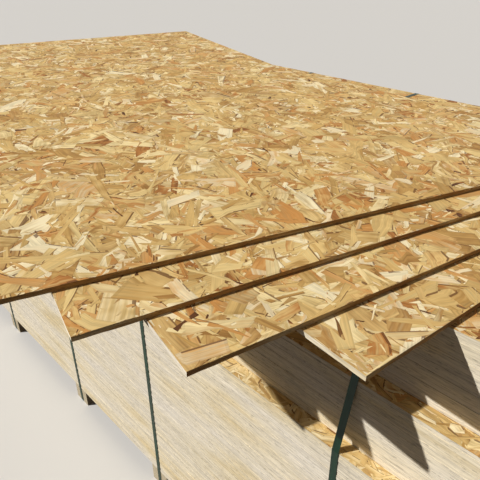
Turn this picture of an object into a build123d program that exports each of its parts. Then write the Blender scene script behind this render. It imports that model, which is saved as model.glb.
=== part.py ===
from build123d import *
import math
import os

# A pack of square-edged OSB sheets, strapped onto four bearers, with four loose sheets fanned on top.
# Millimetres, +Z up, X along the sheets of the pack, and the stepped long side of the pack facing -Y.
# The origin is on the floor, at the middle of the outer box.

# The sheet, and the air between two sheets that lie on each other
sheet_length = 2500.0
sheet_width = 1250.0
sheet_thickness = 10.0
sheet_gap = 0.2

# The pack: three lots of sheets, the upper two set back from the long side of the lowest
lower_count = 67
middle_count = 16
upper_count = 17
middle_setback = 36.0
upper_setback = 77.0
stagger = 0.5
stagger_turn = 2.4

# The loose sheets, from the topmost down: how far the middle of each has slid along and across the pack,
# and how far each is turned, in degrees
loose_slides_along = [-443.0, -341.0, -234.0, -145.0]
loose_slides_across = [-84.0, -81.0, -65.0, 2.0]
loose_turns = [-18.1, -14.9, -11.3, -5.7]

# The bearers, one under each strap: the outer two keep to the ends of the pack, the inner two to its middle
bearer_width = 80.0
bearer_height = 70.0
far_bearer_inset = 343.0
near_bearer_inset = 324.0
far_inner_bearer = -274.0
near_inner_bearer = 255.0

# The straps, and the groove that keeps them clear of the floor
strap_width = 16.0
strap_thickness = 0.9
strap_seat = 0.2
groove_side_gap = 2.0
groove_depth = 2.5

# Levels, from the floor up
pitch = sheet_thickness + sheet_gap
lower_base = bearer_height + sheet_gap
middle_base = lower_base + lower_count * pitch
upper_base = middle_base + middle_count * pitch
pack_top = upper_base + upper_count * pitch - sheet_gap
lowest_loose_base = pack_top + strap_seat + strap_thickness + strap_seat

half_length = sheet_length / 2
half_width = sheet_width / 2
bearer_places = [
    far_bearer_inset - half_length,
    far_inner_bearer,
    near_inner_bearer,
    half_length - near_bearer_inset,
]
loose_places = [
    Location((along, across, 0), (0, 0, turn))
    for along, across, turn in zip(loose_slides_along, loose_slides_across, loose_turns)
]

# The pack stands off the origin, because the loose sheets reach further out on one side of it.
sheet_corners = [(x, y, 0) for x in (-half_length, half_length) for y in (-half_width, half_width)]
pack_places = [Location((-stagger, 0, 0)), Location((stagger, upper_setback, 0))]
outline_places = loose_places + pack_places
outline = [(place * Location(corner)).position for place in outline_places for corner in sheet_corners]
pack_x = -(min(point.X for point in outline) + max(point.X for point in outline)) / 2
pack_y = -(min(point.Y for point in outline) + max(point.Y for point in outline)) / 2
pack = Location((pack_x, pack_y, 0))

os.makedirs("parts", exist_ok=True)

# Sheets of the pack, in three lots. Each sheet lies a little out of line with the one below.
lots = {
    "lower_sheets": (lower_count, lower_base, 0.0),
    "middle_sheets": (middle_count, middle_base, middle_setback),
    "upper_sheets": (upper_count, upper_base, upper_setback),
}
for lot_name, (count, base, setback) in lots.items():
    sheet_planes = []
    for index in range(count):
        turn = stagger_turn * (index + base / pitch)
        x = pack_x + stagger * math.sin(turn)
        y = pack_y + setback + stagger * math.cos(turn)
        sheet_planes.append(Plane((x, y, base + index * pitch)))
    with BuildPart() as lot:
        with BuildSketch(*sheet_planes):
            Rectangle(sheet_length, sheet_width)
        extrude(amount=sheet_thickness)
    lot.part.label = lot_name
    export_step(lot.part, f"parts/{lot_name}.step")

# Loose sheets. The lowest lies on the straps, and each of the others on the sheet below it.
for number, place in enumerate(loose_places, start=1):
    base = lowest_loose_base + (len(loose_places) - number) * pitch
    with BuildPart() as loose_sheet:
        with BuildSketch(Plane(pack * place).offset(base)):
            Rectangle(sheet_length, sheet_width)
        extrude(amount=sheet_thickness)
    loose_sheet.part.label = f"loose_sheet_{number}"
    export_step(loose_sheet.part, f"parts/loose_sheet_{number}.step")

# Bearers, as long as a sheet is wide, with a shallow groove underneath for the strap
for number, x in enumerate(bearer_places, start=1):
    with BuildPart() as bearer:
        with BuildSketch(Plane.XZ.offset(half_width - pack_y)):
            with Locations((pack_x + x, 0)):
                Rectangle(bearer_width, bearer_height, align=(Align.CENTER, Align.MIN))
                Rectangle(
                    strap_width + 2 * groove_side_gap,
                    groove_depth,
                    align=(Align.CENTER, Align.MIN),
                    mode=Mode.SUBTRACT,
                )
        extrude(amount=-sheet_width)
    bearer.part.label = f"bearer_{number}"
    export_step(bearer.part, f"parts/bearer_{number}.step")


def tight_outline(points):
    """The points that a band pulled tight round all of them would touch, in order."""
    ordered = sorted(set(points))
    halves = []
    for run in (ordered, ordered[::-1]):
        half = []
        for point in run:
            while len(half) > 1 and turns_inwards(half[-2], half[-1], point):
                half.pop()
            half.append(point)
        halves += half[:-1]
    return halves


def turns_inwards(first, second, third):
    """True where the way from first to third by second bends away from a tight band, or is straight."""
    across = (second[0] - first[0]) * (third[1] - first[1])
    up = (second[1] - first[1]) * (third[0] - first[0])
    return across - up <= 0


# Straps. Each is one closed band, pulled tight round the corners of the lots and the foot of its bearer.
foot_reach = half_width
lot_reach = half_width + stagger
held_corners = [(y, groove_depth) for y in (-foot_reach, foot_reach)]
for count, base, setback in lots.values():
    top = base + count * pitch - sheet_gap
    held_corners += [(setback + y, z) for y in (-lot_reach, lot_reach) for z in (base, top)]
band_points = tight_outline(held_corners)

for number, x in enumerate(bearer_places, start=1):
    band_origin = (pack_x + x - strap_width / 2, pack_y, 0)
    band_plane = Plane(origin=band_origin, x_dir=(0, 1, 0), z_dir=(1, 0, 0))
    with BuildPart() as strap:
        with BuildSketch(band_plane) as band:
            with BuildLine():
                Polyline(*band_points, close=True)
            held = make_face()
            offset(held, amount=strap_seat + strap_thickness, kind=Kind.ARC, mode=Mode.ADD)
            offset(held, amount=strap_seat, kind=Kind.ARC, mode=Mode.SUBTRACT)
        extrude(amount=strap_width)
    strap.part.label = f"strap_{number}"
    export_step(strap.part, f"parts/strap_{number}.step")
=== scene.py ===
import math
import random

import bpy
from mathutils import Matrix, Vector


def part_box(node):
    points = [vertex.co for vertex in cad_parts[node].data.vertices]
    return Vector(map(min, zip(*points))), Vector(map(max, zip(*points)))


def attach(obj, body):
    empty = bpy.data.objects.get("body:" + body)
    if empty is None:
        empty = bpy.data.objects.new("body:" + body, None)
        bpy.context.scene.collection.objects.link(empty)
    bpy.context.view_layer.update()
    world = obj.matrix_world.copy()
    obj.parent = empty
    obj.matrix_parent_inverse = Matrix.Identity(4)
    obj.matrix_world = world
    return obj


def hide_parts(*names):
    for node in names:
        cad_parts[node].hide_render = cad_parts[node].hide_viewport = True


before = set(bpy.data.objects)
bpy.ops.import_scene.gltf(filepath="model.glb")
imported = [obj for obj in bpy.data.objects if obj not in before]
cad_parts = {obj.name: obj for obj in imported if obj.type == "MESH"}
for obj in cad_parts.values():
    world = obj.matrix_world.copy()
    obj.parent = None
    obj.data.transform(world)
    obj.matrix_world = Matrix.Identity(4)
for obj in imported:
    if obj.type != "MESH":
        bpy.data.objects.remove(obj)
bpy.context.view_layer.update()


# The loose sheets: four square-edged OSB sheets, fanned out on top of the strapped pack.
# Each is a mat of softwood strands, pressed flat with resin and sawn to size, so its faces show whole
# strands and its edges show their cut ends in thin layers.

class Wire:
    """A socket of a node tree. Python's arithmetic on it adds the Math nodes."""

    def __init__(self, tree, socket=None):
        self.tree = tree
        self.socket = socket

    def node(self, kind, settings=None, values=None, output=0):
        """Adds a node: its settings first, then the values or wires of its sockets, by name or place."""
        made = self.tree.nodes.new(kind)
        for name, setting in (settings or {}).items():
            if name == "stops":
                self.fill_ramp(made.color_ramp, setting)
            else:
                setattr(made, name, setting)
        for place, value in (values or {}).items():
            if isinstance(value, Wire):
                self.tree.links.new(value.socket, made.inputs[place])
            else:
                made.inputs[place].default_value = value
        return Wire(self.tree, made.outputs[output] if len(made.outputs) else None)

    def fill_ramp(self, ramp, stops):
        while len(ramp.elements) < len(stops):
            ramp.elements.new(1.0)
        for element, (place, colour) in zip(ramp.elements, stops):
            element.position = place
            element.color = colour

    def math(self, operation, *others):
        """A Math node on this socket and maybe others, for the signs below and for what has no sign."""
        return self.node("ShaderNodeMath", {"operation": operation}, dict(enumerate((self, *others))))

    def __add__(self, other):
        return self.math("ADD", other)

    __radd__ = __add__

    def __sub__(self, other):
        return self.math("SUBTRACT", other)

    def __rsub__(self, other):
        return self.node("ShaderNodeMath", {"operation": "SUBTRACT"}, {0: other, 1: self})

    def __mul__(self, other):
        return self.math("MULTIPLY", other)

    __rmul__ = __mul__

    def __truediv__(self, other):
        return self.math("DIVIDE", other)

    def __pow__(self, other):
        return self.math("POWER", other)

    def __abs__(self):
        return self.math("ABSOLUTE")

    def __gt__(self, other):
        return self.math("GREATER_THAN", other)

    def __lt__(self, other):
        return self.math("LESS_THAN", other)


def join(x, y, z):
    """Three wires or numbers as one vector."""
    wire = next(part for part in (x, y, z) if isinstance(part, Wire))
    return wire.node("ShaderNodeCombineXYZ", None, {0: x, 1: y, 2: z})


def parts_of(vector):
    """The x, y and z of a vector, as three wires."""
    split = vector.node("ShaderNodeSeparateXYZ", None, {0: vector}).socket.node
    return [Wire(vector.tree, socket) for socket in split.outputs]


def mixed(share, first, second, how="MIX"):
    """The first colour turned into the second by a share from 0 to 1."""
    wire = next(part for part in (share, first, second) if isinstance(part, Wire))
    settings = {"data_type": "RGBA", "blend_type": how}
    return wire.node("ShaderNodeMix", settings, {0: share, 6: first, 7: second}, output=2)


def shaded(colour, light):
    """A colour made darker or paler by a wire that stays near 1."""
    return mixed(1.0, colour, join(light, light, light), "MULTIPLY")


def noise(place, detail=2.0):
    return place.node("ShaderNodeTexNoise", None, {"Vector": place, "Scale": 1.0, "Detail": detail})


def bump(height, strength, distance):
    values = {"Height": height, "Strength": strength, "Distance": distance}
    return height.node("ShaderNodeBump", None, values)


def tint(red, green, blue):
    """A colour as a screen shows it, from 0 to 255, in the renderer's own numbers."""
    return tuple(((part / 255 + 0.055) / 1.055) ** 2.4 for part in (red, green, blue)) + (1.0,)


def new_finish(name, specular):
    """A material with one main shader, and a wire that its pattern starts from."""
    material = bpy.data.materials.new(name)
    material.use_nodes = True
    shader = material.node_tree.nodes["Principled BSDF"]
    shader.inputs["Specular IOR Level"].default_value = specular
    return material, shader, Wire(material.node_tree)


def plug(shader, **wires):
    for name, wire in wires.items():
        wire.tree.links.new(wire.socket, shader.inputs[name.replace("_", " ")])


# Strand colours, by the share of strands that have them
STRAND_COLOURS = [
    (0.00, tint(166, 122, 64)),
    (0.08, tint(202, 164, 98)),
    (0.17, tint(228, 196, 130)),
    (0.26, tint(186, 144, 79)),
    (0.35, tint(234, 206, 142)),
    (0.43, tint(208, 172, 106)),
    (0.51, tint(247, 225, 168)),
    (0.58, tint(177, 133, 74)),
    (0.65, tint(220, 188, 124)),
    (0.72, tint(250, 235, 193)),
    (0.77, tint(239, 217, 173)),
    (0.81, tint(212, 168, 106)),
    (0.87, tint(198, 140, 74)),
    (0.92, tint(226, 192, 126)),
    (0.955, tint(183, 124, 64)),
    (0.98, tint(148, 98, 50)),
    (1.00, tint(92, 56, 28)),
]


def strand_finish():
    """Wood strands: each has a colour of its own, fibres along it, and a rim that is a little darker."""
    material, shader, start = new_finish("pressed_strands", specular=0.25)
    read = "ShaderNodeAttribute"
    tone = start.node(read, {"attribute_name": "strand_tone"}, output=2)
    along, across, number = parts_of(start.node(read, {"attribute_name": "strand_run"}, output=1))
    end, side, _ = parts_of(start.node(read, {"attribute_name": "strand_place"}, output=1))

    # Fibres, wider bands and soft clouds run with each strand; a broad pattern runs over the whole board
    def grain(scale_along, scale_across, salt, detail):
        return noise(join(along * scale_along, across * scale_across, number + salt), detail)

    fibres = grain(12, 380, salt=0.0, detail=3.0)
    bands = grain(6, 110, salt=7.0, detail=2.0)
    cloud = grain(26, 40, salt=3.0, detail=2.0)
    x, y, z = parts_of(start.node("ShaderNodeTexCoord", output=3))
    board_scale, board_scale_up = 11, 90
    board = noise(join(x * board_scale, y * board_scale, z * board_scale_up), detail=2.0)

    # Along one side some strands are taken as lifted a little, and the shade in the gap under them is
    # painted, as a dark warm brown
    draw_scale, level_share, gap_from, rim_from = 7.3, 0.3, 0.38, 0.46
    is_lifted = (number * draw_scale).math("FRACT") > level_share
    painted_gap_shade = is_lifted * (side > gap_from) * (cloud > 0.5)
    rim = abs(side).math("MAXIMUM", abs(end)) > rim_from
    rim_shade, gap_shade_share, brightest = 0.10, 0.8, 1.13
    light = fibres * 0.76 + bands * 0.56 + cloud * 0.40 + board * 0.56 - 0.12
    light = light * (1 - rim * rim_shade)
    tone = tone + (cloud - 0.5) * 0.10 + (bands - 0.5) * 0.10
    colour = tone.node("ShaderNodeValToRGB", {"stops": STRAND_COLOURS}, {0: tone})
    light = light.math("MINIMUM", brightest)
    # Painted shade: the gap under a lifted strand's side is turned towards dark brown
    colour = mixed(painted_gap_shade * gap_shade_share, shaded(colour, light), tint(104, 64, 32))
    plug(shader, Base_Color=colour, Roughness=0.60 + bands * 0.3)
    plug(shader, Normal=bump(fibres, strength=0.4, distance=0.0008))
    return material


def sheet_finish(lowest, pitch, thickness, steps):
    """OSB with no loose strands on it: strands pressed level on the faces, layers on the cut edges.
    The layers follow the sheets of the stack, which lie a pitch apart from the lowest one up. Between
    sheets that lie on each other only a hair of the face shows, and it is as pale as the edges. The
    steps are the levels inside the stack where more of it shows."""
    material, shader, start = new_finish("pressed_and_sawn", specular=0.25)
    place = start.node("ShaderNodeTexCoord", output=3)
    x, y, z = parts_of(place)
    face_x, _, face_z = parts_of(start.node("ShaderNodeNewGeometry", output=1))

    # The faces: five layers of narrow shards, each layer turned another way
    colour = tint(200, 162, 104)
    bare_share = 0.45
    layers_of_shards = [
        (0.3, 0.11, 0.026),
        (1.7, 0.08, 0.02),
        (2.6, 0.13, 0.03),
        (0.9, 0.06, 0.012),
        (2.1, 0.05, 0.006),
    ]
    for layer, (turn, length, width) in enumerate(layers_of_shards):
        values = {"Vector": place, "Rotation": (0, 0, turn), "Location": (layer * 3.1, layer * 5.7, 0)}
        values["Scale"] = (1 / length, 1 / width, 1 / length)
        turned = place.node("ShaderNodeMapping", None, values)
        cell = turned.node("ShaderNodeTexVoronoi", None, {"Vector": turned, "Scale": 1.0}, output=1)
        tone, chance, _ = parts_of(cell)
        shard = tone.node("ShaderNodeValToRGB", {"stops": STRAND_COLOURS}, {0: tone})
        colour = mixed(chance > bare_share, colour, shard)
    fibres = noise(join(x * 60, y * 60, z * 60), detail=4.0)
    face = shaded(colour, 0.82 + fibres * 0.3)

    # The edges: thin layers of strand ends with small pits, whose shade is painted as dark flecks, and
    # long patches where a strand lies along
    level = (z - lowest) / pitch
    number = level.math("FLOOR")
    height = (level - number) * (pitch / thickness)
    along = x + y
    layers = noise(join(along * 30, z * 400, number * 3.7), detail=4.0)
    streaks = noise(join(along * 5, z * 220, number * 1.9), detail=2.0)
    patches = noise(join(along * 2.2, z * 6.0, number * 0.09), detail=3.0)
    lengths = noise(join(along * 5, z * 70, number * 2.3), detail=2.0)
    unpitted_share, pit_shade = 0.65, 0.30
    shaded_pits = noise(join(along * 60, z * 460, number * 5.1), detail=1.0) > unpitted_share
    own = number.node("ShaderNodeTexWhiteNoise", {"noise_dimensions": "1D"}, {1: number})
    long_side = patches.node("ShaderNodeValToRGB", {"stops": [
        (0.34, tint(222, 214, 199)),
        (0.46, tint(224, 214, 193)),
        (0.56, tint(228, 216, 189)),
        (0.68, tint(224, 206, 166)),
    ]}, {0: patches})
    short_end = lengths.node("ShaderNodeValToRGB", {"stops": [
        (0.30, tint(132, 90, 50)),
        (0.43, tint(164, 124, 74)),
        (0.55, tint(170, 132, 80)),
        (0.66, tint(188, 162, 120)),
    ]}, {0: lengths})
    faces_along = 0.7
    edge = mixed(abs(face_x) > faces_along, long_side, short_end)
    # Painted shade: each sheet's edge is a little darker at its top and bottom, along the seam to the
    # next sheet
    seam_shade_from, seam_shade_depth = 0.45, 0.05
    seam_shade = (abs(height - 0.5) > seam_shade_from) * seam_shade_depth
    light = 0.37 + layers * 0.80 + streaks * 0.60 + own * 0.12 - patches * 0.30
    # Painted shade in the pits and along the seams darkens the edge here
    light = light * (1 - shaded_pits * pit_shade) * (1 - seam_shade)
    edge = shaded(edge, light)

    # The faces in sight: the underside, the top and the steps
    near = 0.001
    open_face = (z < lowest + near).math("MAXIMUM", z > steps[-1] - near)
    for step in steps:
        open_face = open_face.math("MAXIMUM", abs(z - step) < near)
    level_face = (abs(face_z) > 0.5) * open_face
    plug(shader, Base_Color=mixed(level_face, edge, face), Roughness=0.66 + fibres * 0.25)
    relief = layers * (1 - level_face) + fibres * level_face
    plug(shader, Normal=bump(relief, strength=0.45, distance=0.0008))
    return material


def strewn_strands():
    """Strands strewn over a rectangle round the origin and held within its sides, as a tree of nodes.
    None are laid where a cover, such as the next sheet up, hides the rectangle."""
    tree = bpy.data.node_groups.new("strewn_strands", "GeometryNodeTree")
    kinds = {"Length": "Float", "Width": "Float", "Count": "Float", "Seed": "Int", "Depth": "Float",
             "Shortest": "Float", "Longest": "Float", "Narrowest": "Float", "Widest": "Float",
             "Palest": "Float", "Darkest": "Float", "Cover Place": "Vector", "Cover Turn": "Float",
             "Cover Reach": "Vector", "Place": "Vector", "Turn": "Float", "Material": "Material"}
    for name, kind in kinds.items():
        tree.interface.new_socket(name=name, in_out="INPUT", socket_type=f"NodeSocket{kind}")
    tree.interface.new_socket(name="Strands", in_out="OUTPUT", socket_type="NodeSocketGeometry")
    start = Wire(tree)
    sockets = start.node("NodeGroupInput").socket.node.outputs
    given = {socket.name: Wire(tree, socket) for socket in sockets if socket.name}

    def chance(salt):
        settings = {"data_type": "FLOAT"}
        return start.node("FunctionNodeRandomValue", settings, {"Seed": given["Seed"] + salt}, output=1)

    def keep(geometry, name, value, kind="FLOAT"):
        settings = {"data_type": kind, "domain": "POINT"}
        values = {"Geometry": geometry, "Name": name, "Value": value}
        return start.node("GeometryNodeStoreNamedAttribute", settings, values)

    def kept(name, kind="FLOAT"):
        return start.node("GeometryNodeInputNamedAttribute", {"data_type": kind}, {"Name": name})

    # Where the strands lie
    values = {"Size X": given["Length"], "Size Y": given["Width"], "Vertices X": 2, "Vertices Y": 2}
    ground = start.node("GeometryNodeMeshGrid", None, values)
    density = given["Count"] / (given["Length"] * given["Width"])
    spots = start.node("GeometryNodeDistributePointsOnFaces", {"distribute_method": "RANDOM"},
                       {"Mesh": ground, "Density": density, "Seed": given["Seed"]})
    x, y, _ = parts_of(start.node("GeometryNodeInputPosition"))
    cover_x, cover_y, _ = parts_of(given["Cover Place"])
    reach_x, reach_y, _ = parts_of(given["Cover Reach"])
    turn = given["Cover Turn"]
    cosine, sine = turn.math("COSINE"), turn.math("SINE")
    right, back = x - cover_x, y - cover_y
    hidden_along = abs(right * cosine + back * sine) < reach_x
    hidden_across = abs(back * cosine - right * sine) < reach_y
    hidden = hidden_along * hidden_across
    spots = start.node("GeometryNodeDeleteGeometry", {"domain": "POINT"}, {0: spots, 1: hidden})

    # Each strand's own size, turn and colour. Most are short and narrow, and fewer lie across than along.
    short_bias, narrow_bias, flattest, more_height = 1.7, 2.2, 0.25, 0.65
    quarter_turn, swing, last_number = math.pi * 0.5, 1.3, 40
    long = given["Shortest"] + (given["Longest"] - given["Shortest"]) * chance(1) ** short_bias
    wide = given["Narrowest"] + (given["Widest"] - given["Narrowest"]) * chance(2) ** narrow_bias
    tall = given["Depth"] * (flattest + more_height * chance(3))
    spots = keep(spots, "strand_size", join(long, wide, tall), "FLOAT_VECTOR")
    spots = keep(spots, "strand_turn", (chance(4) + chance(5) - 1) * quarter_turn * swing)
    tone = given["Palest"] + (given["Darkest"] - given["Palest"]) * chance(6)
    spots = keep(spots, "strand_tone", tone)
    spots = keep(spots, "strand_number", chance(7) * last_number)

    # One strand: a thin slip of wood with six corners, a top and sides, open towards the sheet under it
    values = {"Size X": 1.0, "Size Y": 1.0, "Vertices X": 3, "Vertices Y": 2}
    slip = start.node("GeometryNodeMeshGrid", None, values)
    slip = keep(slip, "strand_place", start.node("GeometryNodeInputPosition"), "FLOAT_VECTOR")
    values = {"Mesh": slip, "Offset": (0, 0, 1), "Offset Scale": 1.0, "Individual": False}
    slip = start.node("GeometryNodeExtrudeMesh", {"mode": "FACES"}, values)
    tilt_across, tilt_along = 0.008, 0.004
    tilts = (chance(8) - 0.5) * tilt_across, (chance(9) - 0.5) * tilt_along
    lean = join(*tilts, kept("strand_turn"))
    lean = lean.node("FunctionNodeEulerToRotation", None, {0: lean})
    size = kept("strand_size", "FLOAT_VECTOR")
    values = {"Points": spots, "Instance": slip, "Rotation": lean, "Scale": size}
    strands = start.node("GeometryNodeInstanceOnPoints", None, values)
    strands = start.node("GeometryNodeRealizeInstances", None, {0: strands})

    # Its corners are moved, so that no two strands are alike, and kept within the rectangle
    slip_x, slip_y, _ = parts_of(kept("strand_place", "FLOAT_VECTOR"))
    long, wide, _ = parts_of(size)
    number, turn = kept("strand_number"), kept("strand_turn")
    per_corner, per_strand = 9, 31
    corner = join(slip_x * per_corner, slip_y * per_corner, number * per_strand)
    settings = {"noise_dimensions": "3D"}
    drawn = corner.node("ShaderNodeTexWhiteNoise", settings, {"Vector": corner}, output=1)
    draw_x, draw_y, _ = parts_of(drawn)
    moved_along, moved_across = 0.34, 0.62
    right, back = (draw_x - 0.5) * moved_along * long, (draw_y - 0.5) * moved_across * wide
    cosine, sine = turn.math("COSINE"), turn.math("SINE")
    x, y, z = parts_of(start.node("GeometryNodeInputPosition"))
    x = x + right * cosine - back * sine
    y = y + right * sine + back * cosine
    half_x, half_y = given["Length"] / 2, given["Width"] / 2
    x = x.math("MINIMUM", half_x).math("MAXIMUM", 0 - half_x)
    y = y.math("MINIMUM", half_y).math("MAXIMUM", 0 - half_y)
    z = z.math("MINIMUM", given["Depth"])
    values = {"Geometry": strands, "Position": join(x, y, z)}
    strands = start.node("GeometryNodeSetPosition", None, values)
    run = join(slip_x * long, slip_y * wide, number)
    strands = keep(strands, "strand_run", run, "FLOAT_VECTOR")

    # The mat is laid on its sheet as one instance, at the sheet's place and turn
    sheet_middle = start.node("GeometryNodePoints", None, {"Count": 1, "Position": given["Place"]})
    turn = join(0.0, 0.0, given["Turn"])
    turn = turn.node("FunctionNodeEulerToRotation", None, {0: turn})
    values = {"Points": sheet_middle, "Instance": strands, "Rotation": turn}
    laid = start.node("GeometryNodeInstanceOnPoints", None, values)
    laid = start.node("GeometryNodeRealizeInstances", None, {0: laid})
    values = {"Geometry": laid, "Material": given["Material"]}
    laid = start.node("GeometryNodeSetMaterial", None, values)
    start.node("NodeGroupOutput", None, {"Strands": laid})
    return tree


def osb_piece(name, mesh):
    """A piece of OSB that rides on the stack."""
    piece = bpy.data.objects.new(name, mesh)
    bpy.context.scene.collection.objects.link(piece)
    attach(piece, "root")
    return piece


def laid_out(name, tree, **sizes):
    """A piece from a tree of nodes with these sizes, as a plain mesh that rides on the stack."""
    holder = bpy.data.objects.new(name + "_holder", bpy.data.meshes.new(name + "_holder"))
    bpy.context.scene.collection.objects.link(holder)
    modifier = holder.modifiers.new("tree", "NODES")
    modifier.node_group = tree
    for item in tree.interface.items_tree:
        if item.in_out == "INPUT":
            modifier[item.identifier] = sizes[item.name.replace(" ", "_").lower()]
    graph = bpy.context.evaluated_depsgraph_get()
    mesh = bpy.data.meshes.new_from_object(holder.evaluated_get(graph), depsgraph=graph)
    bpy.data.objects.remove(holder)
    return osb_piece(name, mesh)


def lie_of(node):
    """The middle, length, width, turn, lowest and highest level of a sheet, from its corners."""
    low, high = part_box(node)
    corners = {(round(v.co.x, 5), round(v.co.y, 5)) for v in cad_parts[node].data.vertices}
    first, *others = [Vector(corner) for corner in sorted(corners)]
    short, long, _ = sorted((other - first for other in others), key=lambda side: side.length)
    turn = math.atan2(long.y, long.x)
    # A hair is taken off, so that rounding keeps what is made from these sizes inside the sheet
    hair = 0.00002
    return (low + high) / 2, long.length - hair, short.length - hair, turn, low.z, high.z


def sawn_core(name, middle, length, width, turn, bottom, top):
    """The body of one loose sheet. Its sawn edges are layered, and torn in by up to 0.6 mm on the long
    sides and 1.2 mm at the ends."""
    step, tear = 0.022, 0.0006
    share_up = (0.0, 0.18, 0.42, 0.64, 0.84, 1.0)
    rim = []
    signs = ((-1, -1), (1, -1), (1, 1), (-1, 1))
    corners = [Vector((sx * length / 2, sy * width / 2, 0)) for sx, sy in signs]
    for corner, following in zip(corners, corners[1:] + corners[:1]):
        pieces = round((following - corner).length / step)
        rim += [corner.lerp(following, index / pieces) for index in range(pieces)]
    draw = random.Random(name)
    turned = Matrix.Rotation(turn, 4, "Z")
    points = []
    for up in share_up:
        for point in rim:
            inwards = 1 - draw.random() ** 2 * tear / (width / 2)
            moved = turned @ (point * inwards)
            points.append((middle.x + moved.x, middle.y + moved.y, bottom + up * (top - bottom)))
    count = len(rim)
    faces = [tuple(reversed(range(count))), tuple(range(len(points) - count, len(points)))]
    for layer in range(len(share_up) - 1):
        for index in range(count):
            after = (index + 1) % count
            low, high = layer * count, (layer + 1) * count
            faces.append((low + index, low + after, high + after, high + index))
    mesh = bpy.data.meshes.new(name)
    mesh.from_pydata(points, [], faces)
    return osb_piece(name, mesh)


strand_depth = 0.0006
cover_margin = 0.05
edge_margin = 0.0004
pack_low, lower_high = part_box("lower_sheets")
middle_low, middle_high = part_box("middle_sheets")
upper_low, pack_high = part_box("upper_sheets")
sheet_count = 100
_, _, _, _, loose_low, loose_high = lie_of("loose_sheet_4")
sheet_thickness = loose_high - loose_low
sheet_pitch = (pack_high.z - pack_low.z - sheet_thickness) / (sheet_count - 1)

strands = strand_finish()
steps = (lower_high.z, middle_high.z, pack_high.z)
sheets = sheet_finish(pack_low.z, sheet_pitch, sheet_thickness, steps)
tree = strewn_strands()


def cover_of(middle, turn, covering, size=None):
    """Where the sheet that covers a face lies, as seen from the face's middle, or no cover at all.
    The cover has the length and width that are given, or else its own."""
    if not covering:
        return dict(cover_place=(0.0, 0.0, 0.0), cover_turn=0.0, cover_reach=(-1.0, -1.0, 0.0))
    cover_middle, *own_size, cover_turn, _, _ = covering
    length, width = size or own_size
    apart = Matrix.Rotation(-turn, 4, "Z") @ (cover_middle - middle)
    reach = (length / 2 - cover_margin, width / 2 - cover_margin, 0.0)
    return dict(cover_place=(apart.x, apart.y, 0.0), cover_turn=cover_turn - turn, cover_reach=reach)


covering = None
for number in (1, 2, 3, 4):
    node = f"loose_sheet_{number}"
    lie = lie_of(node)
    middle, length, width, turn, bottom, top = lie
    core = sawn_core(f"sheet_{number}_core", middle, length, width, turn, bottom, top - strand_depth)
    core.data.materials.append(sheets)
    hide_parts(node)
    where = dict(length=length - edge_margin, width=width - edge_margin, depth=strand_depth,
                 place=(middle.x, middle.y, top - strand_depth), turn=turn, material=strands)
    where.update(cover_of(middle, turn, covering, size=(length, width)))
    laid_out(f"sheet_{number}_strands", tree, count=9400.0, seed=10 * number,
             shortest=0.035, longest=0.16, narrowest=0.007, widest=0.05,
             palest=0.0, darkest=0.972, **where)
    laid_out(f"sheet_{number}_slivers", tree, count=9600.0, seed=10 * number + 5,
             shortest=0.008, longest=0.055, narrowest=0.0018, widest=0.011,
             palest=0.42, darkest=1.035, **where)
    covering = lie


# The strapped pack: 100 sheets in three lots, pulled tight into one block by its straps.
# Only the steps between the lots, and the corners that the loose sheets leave free, show a face.

def give_finish(node, finish):
    """Dresses a piece that keeps its own shape."""
    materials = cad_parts[node].data.materials
    materials.clear()
    materials.append(finish)


for node in ("lower_sheets", "middle_sheets", "upper_sheets"):
    give_finish(node, sheets)

step_margin = 0.0015


def face_strands(name, seed, low, high, level, density, covering=None, palest=0.0, darkest=1.0):
    """Strands on the open part of a face of the pack, from one corner to the other."""
    middle = Vector(((low.x + high.x) / 2, (low.y + high.y) / 2, level))
    length, width = high.x - low.x - step_margin, high.y - low.y - step_margin
    laid_out(name, tree, count=density * length * width, seed=seed,
             shortest=0.02, longest=0.12, narrowest=0.004, widest=0.035,
             palest=palest, darkest=darkest, length=length, width=width, depth=strand_depth,
             place=tuple(middle), turn=0.0, material=strands, **cover_of(middle, 0.0, covering))


middle_step_end = Vector((middle_high.x, upper_low.y, 0))
lower_step_end = Vector((lower_high.x, middle_low.y, 0))
face_strands("pack_top_strands", 61, upper_low, pack_high, pack_high.z,
             density=5000.0, covering=lie_of("loose_sheet_4"))
face_strands("middle_step_strands", 62, middle_low, middle_step_end, middle_high.z,
             density=9000.0, palest=0.27, darkest=0.86)
face_strands("lower_step_strands", 63, pack_low, lower_step_end, lower_high.z,
             density=9000.0, palest=0.62, darkest=0.70)


# The straps: flat plastic bands, dark green, with a fine pattern pressed into them.
# Each runs once round the pack and its bearer.

def strap_finish():
    material, shader, start = new_finish("green_strap", specular=0.3)
    x, y, z = parts_of(start.node("ShaderNodeTexCoord", output=3))
    run = y + z
    ridges = 2100
    pressed = (run * ridges + x * ridges).math("SINE")
    crossed = (run * ridges - x * ridges).math("SINE")
    wear = noise(join(x * 160, y * 12, z * 12), detail=3.0)
    colour = wear.node("ShaderNodeValToRGB", {"stops": [
        (0.3, tint(8, 34, 21)),
        (0.55, tint(12, 44, 28)),
        (0.8, tint(26, 64, 44)),
    ]}, {0: wear})
    plug(shader, Base_Color=colour, Roughness=0.34 + wear * 0.2)
    plug(shader, Normal=bump(pressed * crossed, strength=0.05, distance=0.0002))
    return material


strap_green = strap_finish()
for number in (1, 2, 3, 4):
    give_finish(f"strap_{number}", strap_green)


# The bearers: four rough-sawn softwood battens that keep the pack off the floor.
# Each lies under a strap, with its grain from one long side of the pack to the other.

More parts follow.
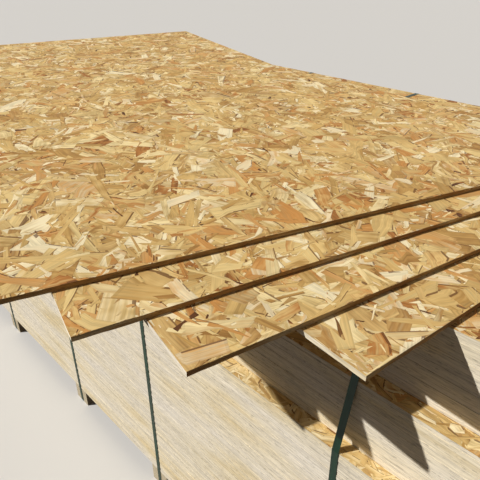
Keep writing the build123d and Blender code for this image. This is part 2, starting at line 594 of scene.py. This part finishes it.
def bearer_finish():
    material, shader, start = new_finish("rough_sawn_wood", specular=0.25)
    x, y, z = parts_of(start.node("ShaderNodeTexCoord", output=3))
    _, face_y, _ = parts_of(start.node("ShaderNodeNewGeometry", output=1))
    bent = noise(join(x * 9, y * 1.4, z * 9), detail=1.0)
    grain = noise(join(x * 130 + bent * 6, y * 3.5, z * 130 + bent * 6), detail=3.0)
    saw = noise(join(x * 8, y * 420, z * 8), detail=2.0)
    pith_x, pith_z, ring_scale, rings_per_reach = 0.02, 0.05, 900, 30
    reach = (x + pith_x) * (x + pith_x) * ring_scale + (z + pith_z) * (z + pith_z) * ring_scale
    rings = (reach * rings_per_reach).math("SINE") * 0.5 + 0.5
    faces_end = 0.7
    wood = mixed(abs(face_y) > faces_end, join(grain, grain, grain), join(rings, rings, rings))
    share, _, _ = parts_of(wood)
    colour = share.node("ShaderNodeValToRGB", {"stops": [
        (0.3, tint(164, 148, 120)),
        (0.5, tint(196, 183, 154)),
        (0.72, tint(212, 200, 172)),
    ]}, {0: share})
    plug(shader, Base_Color=shaded(colour, 0.84 + saw * 0.26), Roughness=0.72 + saw * 0.2)
    plug(shader, Normal=bump(saw + grain, strength=0.5, distance=0.0012))
    return material


sawn_wood = bearer_finish()
for number in (1, 2, 3, 4):
    give_finish(f"bearer_{number}", sawn_wood)


# The studio: a pale floor without an edge in sight, a key light like the photo's and an even fill.
# A second, weak light from behind shows the back of the stack in other views.

def seen_directly(start):
    """1 for what the camera sees, also in gloss or through glass, and 0 for light that bounces on."""
    rays = start.node("ShaderNodeLightPath").socket.node.outputs
    names = ("Is Camera Ray", "Is Glossy Ray", "Is Transmission Ray")
    camera_ray, glossy, through = [Wire(start.tree, rays[name]) for name in names]
    return camera_ray.math("MAXIMUM", glossy.math("MAXIMUM", through))


floor_reach, floor_drop = 40.0, 0.0003
floor_corners = [(-1, -1), (1, -1), (1, 1), (-1, 1)]
floor_points = [(x * floor_reach, y * floor_reach, -floor_drop) for x, y in floor_corners]
floor_mesh = bpy.data.meshes.new("floor")
floor_mesh.from_pydata(floor_points, [], [(0, 1, 2, 3)])
floor = bpy.data.objects.new("floor", floor_mesh)
bpy.context.scene.collection.objects.link(floor)
floor_finish, floor_shader, start = new_finish("pale_floor", specular=0.1)
floor_shader.inputs["Roughness"].default_value = 0.9
floor_in_bounces, floor_in_sight = tint(66, 60, 56), tint(222, 221, 218)
plug(floor_shader, Base_Color=mixed(seen_directly(start), floor_in_bounces, floor_in_sight))
floor_mesh.materials.append(floor_finish)

warm_white = (1.0, 0.975, 0.94)
lamps = [
    ("key", (0.455, 0.675, -0.581), 4.1, 0.8),
    ("back_fill", (0.05, -0.99, -0.10), 0.55, 30.0),
]
for name, way, energy, softness in lamps:
    light = bpy.data.objects.new(name, bpy.data.lights.new(name, "SUN"))
    light.data.energy = energy
    light.data.angle = math.radians(softness)
    light.data.color = warm_white
    light.rotation_mode = "QUATERNION"
    light.rotation_quaternion = Vector(way).to_track_quat("-Z", "Y")
    bpy.context.scene.collection.objects.link(light)

world = bpy.data.worlds.new("studio")
world.use_nodes = True
bpy.context.scene.world = world
background = world.node_tree.nodes["Background"]
seen = seen_directly(Wire(world.node_tree))
fill_strength, backdrop_strength = 0.12, 1.0
fill_colour, backdrop_colour = (1.0, 0.91, 0.86, 1.0), tint(228, 227, 224)
colour = mixed(seen, fill_colour, backdrop_colour)
strength = seen * (backdrop_strength - fill_strength) + fill_strength
world.node_tree.links.new(colour.socket, background.inputs["Color"])
world.node_tree.links.new(strength.socket, background.inputs["Strength"])


# The camera stands a little above the near corner of the stack and looks down along it.
# Its place and direction were fitted to the photo, with the focal length held near 540 pixels.

camera_place = Vector((1.6107, -1.1623, 1.6247))
heading, dip, roll = math.radians(136.91), math.radians(29.22), math.radians(-0.41)
image_width, focal_pixels = 480, 540.7
camera = bpy.data.objects.new("camera", bpy.data.cameras.new("camera"))
camera.data.sensor_width = 36.0
camera.data.lens = camera.data.sensor_width * focal_pixels / image_width
camera.data.clip_start, camera.data.clip_end = 0.05, 200.0
forward = Vector((math.cos(heading) * math.cos(dip), math.sin(heading) * math.cos(dip), -math.sin(dip)))
level_right = Vector((math.sin(heading), -math.cos(heading), 0))
level_up = level_right.cross(forward)
right = level_right * math.cos(roll) + level_up * math.sin(roll)
up = level_up * math.cos(roll) - level_right * math.sin(roll)
turned = Matrix((right, up, -forward)).transposed().to_4x4()
camera.matrix_world = Matrix.Translation(camera_place) @ turned
bpy.context.scene.collection.objects.link(camera)
bpy.context.scene.camera = camera
bpy.context.scene.view_settings.view_transform = "Standard"
